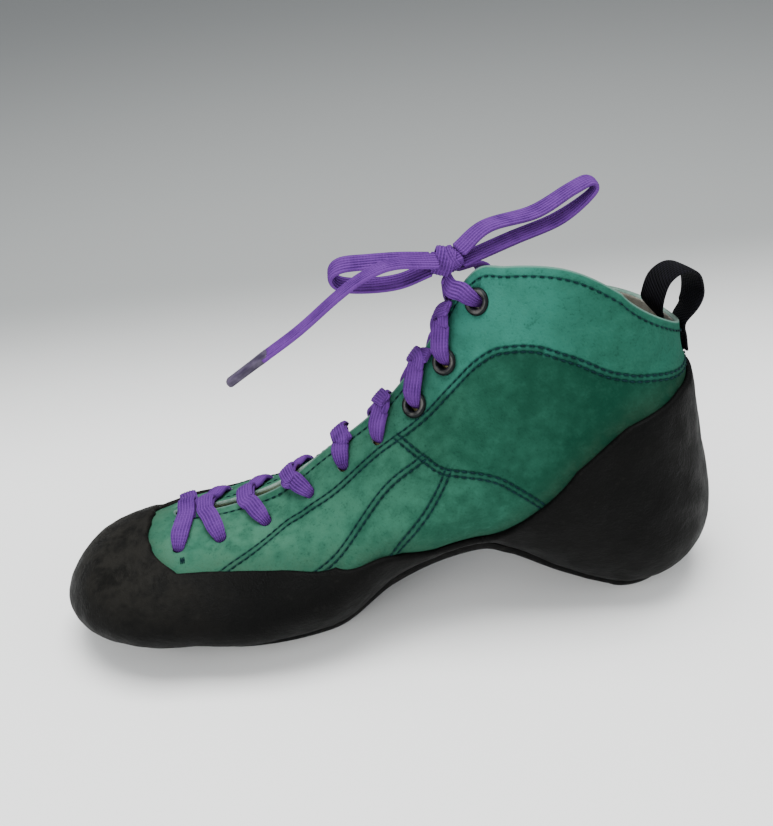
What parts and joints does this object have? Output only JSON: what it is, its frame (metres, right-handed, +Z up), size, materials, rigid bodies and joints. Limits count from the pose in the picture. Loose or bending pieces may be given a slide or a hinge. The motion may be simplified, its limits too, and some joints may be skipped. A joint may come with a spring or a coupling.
{
  "type": "climbing shoe",
  "caption": "Lace-up high-top climbing shoe for the left foot, suede upper with a rubber sole, toe cap and heel rand, tied flat lace and a webbing pull loop.",
  "frame": {"origin": "on the floor under the heel, where the sole rests", "axes": "+X from heel to toe, +Y to the wearer's outer side, +Z up"},
  "size_m": [0.258, 0.0946, 0.158],
  "materials": {
    "suede": "matt nap",
    "rubber": "matt",
    "lining": "matt",
    "lace": "matt weave",
    "eyelet": "satin",
    "webbing": "matt weave",
    "aglet": "satin"
  },
  "bodies": {
    "root": {"upper": "suede", "outsole": "rubber", "insole": "lining", "tongue": "lining", "toe_rand": "rubber", "heel_rand": "rubber", "eyelet_outer_7": "eyelet", "eyelet_outer_8": "eyelet", "eyelet_outer_9": "eyelet", "eyelet_inner_7": "eyelet", "eyelet_inner_8": "eyelet", "eyelet_inner_9": "eyelet", "lace_bar": "lace", "lace_crossing_2": "lace", "lace_crossing_3": "lace", "lace_crossing_4": "lace", "lace_crossing_5": "lace", "lace_crossing_6": "lace", "lace_crossing_7": "lace", "lace_crossing_8": "lace", "lace_crossing_9": "lace", "pull_loop": "webbing", "lace_knot": "lace", "lace_loop_front": "lace", "lace_loop_back": "lace", "lace_end_front": "lace", "lace_end_back": "lace", "aglet_front": "aglet", "aglet_back": "aglet"}
  },
  "joints": []
}
